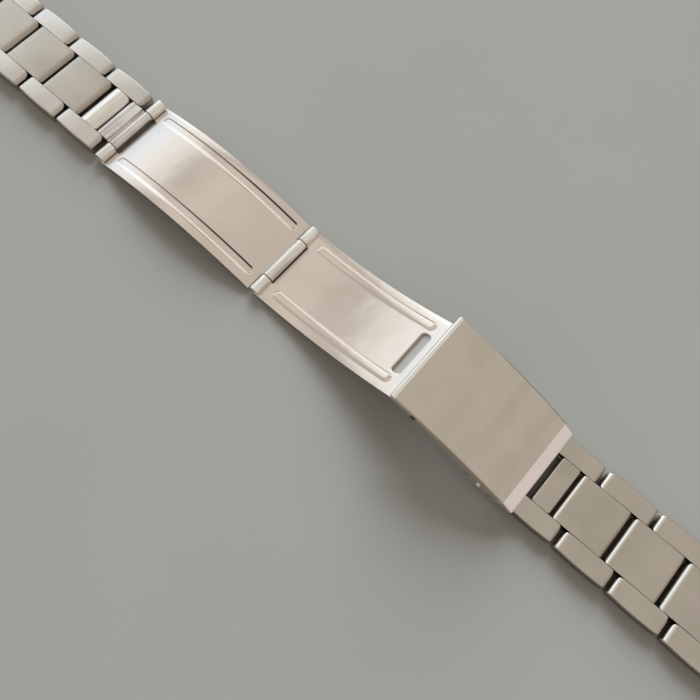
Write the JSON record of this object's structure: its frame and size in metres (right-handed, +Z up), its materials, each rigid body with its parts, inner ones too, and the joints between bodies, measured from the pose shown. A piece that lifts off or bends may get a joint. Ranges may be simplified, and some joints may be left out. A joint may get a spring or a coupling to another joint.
{
  "type": "link watch bracelet",
  "caption": "Three-row folded-link metal watch bracelet with a two-blade fold-over clasp, laid open and flat, outer side up.",
  "frame": {"origin": "centre of the bracelet's footprint, on the surface that it lies on", "axes": "+X along the open bracelet from the blade side to the cover side, +Y across it, +Z up out of its outer face"},
  "size_m": [0.2064, 0.0176, 0.0113],
  "materials": {
    "brushed_steel_links": "warm grey folded steel, brushed along the band on top",
    "polished_steel_blades": "polished pressed steel blades",
    "brushed_steel_cover": "brushed top, polished edges",
    "plain_steel_pins": "plain drawn steel"
  },
  "bodies": {
    "clasp_cover": {"clasp_cover": "brushed_steel_cover", "cover_hinge_pin": "plain_steel_pins", "spring_bar_tube": "plain_steel_pins", "spring_bar_spring": "plain_steel_pins", "spring_bar_tip_back": "plain_steel_pins", "spring_bar_tip_front": "plain_steel_pins"},
    "cover_side_blade": {"cover_side_blade": "polished_steel_blades", "fold_hinge_pin": "plain_steel_pins"},
    "chain_side_blade": {"chain_side_blade": "polished_steel_blades", "chain_hinge_pin": "plain_steel_pins"},
    "connector": {"connector": "brushed_steel_links"},
    "adjuster_strap": {"adjuster_strap": "brushed_steel_links"},
    "left_row_0": {"left_0_spacer_bar": "brushed_steel_links", "left_0_outer_link_back": "brushed_steel_links", "left_0_outer_link_front": "brushed_steel_links", "left_0_pins": "plain_steel_pins"},
    "left_row_1": {"left_1_centre_link": "brushed_steel_links", "left_1_outer_link_back": "brushed_steel_links", "left_1_outer_link_front": "brushed_steel_links", "left_1_pins": "plain_steel_pins"},
    "left_row_2": {"left_2_centre_link": "brushed_steel_links", "left_2_outer_link_back": "brushed_steel_links", "left_2_outer_link_front": "brushed_steel_links", "left_2_pins": "plain_steel_pins"},
    "left_row_3": {"left_3_centre_link": "brushed_steel_links", "left_3_outer_link_back": "brushed_steel_links", "left_3_outer_link_front": "brushed_steel_links", "left_3_pins": "plain_steel_pins"},
    "left_row_4": {"left_4_centre_link": "brushed_steel_links", "left_4_outer_link_back": "brushed_steel_links", "left_4_outer_link_front": "brushed_steel_links", "left_4_pins": "plain_steel_pins"},
    "left_end": {"left_end_link": "brushed_steel_links"},
    "right_row_0": {"right_0_spacer_bar": "brushed_steel_links", "right_0_outer_link_back": "brushed_steel_links", "right_0_outer_link_front": "brushed_steel_links", "right_0_pins": "plain_steel_pins"},
    "right_row_1": {"right_1_centre_link": "brushed_steel_links", "right_1_outer_link_back": "brushed_steel_links", "right_1_outer_link_front": "brushed_steel_links", "right_1_pins": "plain_steel_pins"},
    "right_row_2": {"right_2_centre_link": "brushed_steel_links", "right_2_outer_link_back": "brushed_steel_links", "right_2_outer_link_front": "brushed_steel_links", "right_2_pins": "plain_steel_pins"},
    "right_row_3": {"right_3_centre_link": "brushed_steel_links", "right_3_outer_link_back": "brushed_steel_links", "right_3_outer_link_front": "brushed_steel_links", "right_3_pins": "plain_steel_pins"},
    "right_row_4": {"right_4_centre_link": "brushed_steel_links", "right_4_outer_link_back": "brushed_steel_links", "right_4_outer_link_front": "brushed_steel_links", "right_4_pins": "plain_steel_pins"},
    "right_end": {"right_end_link": "brushed_steel_links"}
  },
  "joints": [
    {"name": "clasp_opening", "type": "hinge", "parent": "clasp_cover", "child": "cover_side_blade", "pos_m": [0.02854, 0, 0.00912], "axis": [0, 1, 0], "range_deg": [-130.5, 0]},
    {"name": "blade_fold", "type": "hinge", "parent": "cover_side_blade", "child": "chain_side_blade", "pos_m": [-0.00657, 0, 0.00115], "axis": [0, 1, 0], "range_deg": [0, 163.01]},
    {"name": "connector_hinge", "type": "hinge", "parent": "chain_side_blade", "child": "connector", "pos_m": [-0.04547, 0, 0.00125], "axis": [0, -1, 0], "range_deg": [-5, 45]},
    {"name": "strap_swing", "type": "hinge", "parent": "clasp_cover", "child": "adjuster_strap", "pos_m": [0.04287, 0, 0.00345], "axis": [0, 1, 0], "range_deg": [0, 40]},
    {"name": "left_0_flex", "type": "hinge", "parent": "connector", "child": "left_row_0", "pos_m": [-0.04877, 0, 0.00125], "axis": [0, -1, 0], "range_deg": [-10, 35]},
    {"name": "left_1_flex", "type": "hinge", "parent": "left_row_0", "child": "left_row_1", "pos_m": [-0.05602, 0, 0.00125], "axis": [0, -1, 0], "range_deg": [-15, 35]},
    {"name": "left_2_flex", "type": "hinge", "parent": "left_row_1", "child": "left_row_2", "pos_m": [-0.06622, 0, 0.00125], "axis": [0, -1, 0], "range_deg": [-15, 35]},
    {"name": "left_3_flex", "type": "hinge", "parent": "left_row_2", "child": "left_row_3", "pos_m": [-0.07642, 0, 0.00125], "axis": [0, -1, 0], "range_deg": [-15, 35]},
    {"name": "left_4_flex", "type": "hinge", "parent": "left_row_3", "child": "left_row_4", "pos_m": [-0.08662, 0, 0.00125], "axis": [0, -1, 0], "range_deg": [-15, 35]},
    {"name": "left_end_flex", "type": "hinge", "parent": "left_row_4", "child": "left_end", "pos_m": [-0.09682, 0, 0.00125], "axis": [0, -1, 0], "range_deg": [-15, 35]},
    {"name": "right_0_flex", "type": "hinge", "parent": "adjuster_strap", "child": "right_row_0", "pos_m": [0.04877, 0, 0.00125], "axis": [0, 1, 0], "range_deg": [0, 35]},
    {"name": "right_1_flex", "type": "hinge", "parent": "right_row_0", "child": "right_row_1", "pos_m": [0.05602, 0, 0.00125], "axis": [0, 1, 0], "range_deg": [-15, 35]},
    {"name": "right_2_flex", "type": "hinge", "parent": "right_row_1", "child": "right_row_2", "pos_m": [0.06622, 0, 0.00125], "axis": [0, 1, 0], "range_deg": [-15, 35]},
    {"name": "right_3_flex", "type": "hinge", "parent": "right_row_2", "child": "right_row_3", "pos_m": [0.07642, 0, 0.00125], "axis": [0, 1, 0], "range_deg": [-15, 35]},
    {"name": "right_4_flex", "type": "hinge", "parent": "right_row_3", "child": "right_row_4", "pos_m": [0.08662, 0, 0.00125], "axis": [0, 1, 0], "range_deg": [-15, 35]},
    {"name": "right_end_flex", "type": "hinge", "parent": "right_row_4", "child": "right_end", "pos_m": [0.09682, 0, 0.00125], "axis": [0, 1, 0], "range_deg": [-15, 35]}
  ],
  "couplings": [
    {"joint": "blade_fold", "follows": "clasp_opening", "ratio": -1.249}
  ]
}
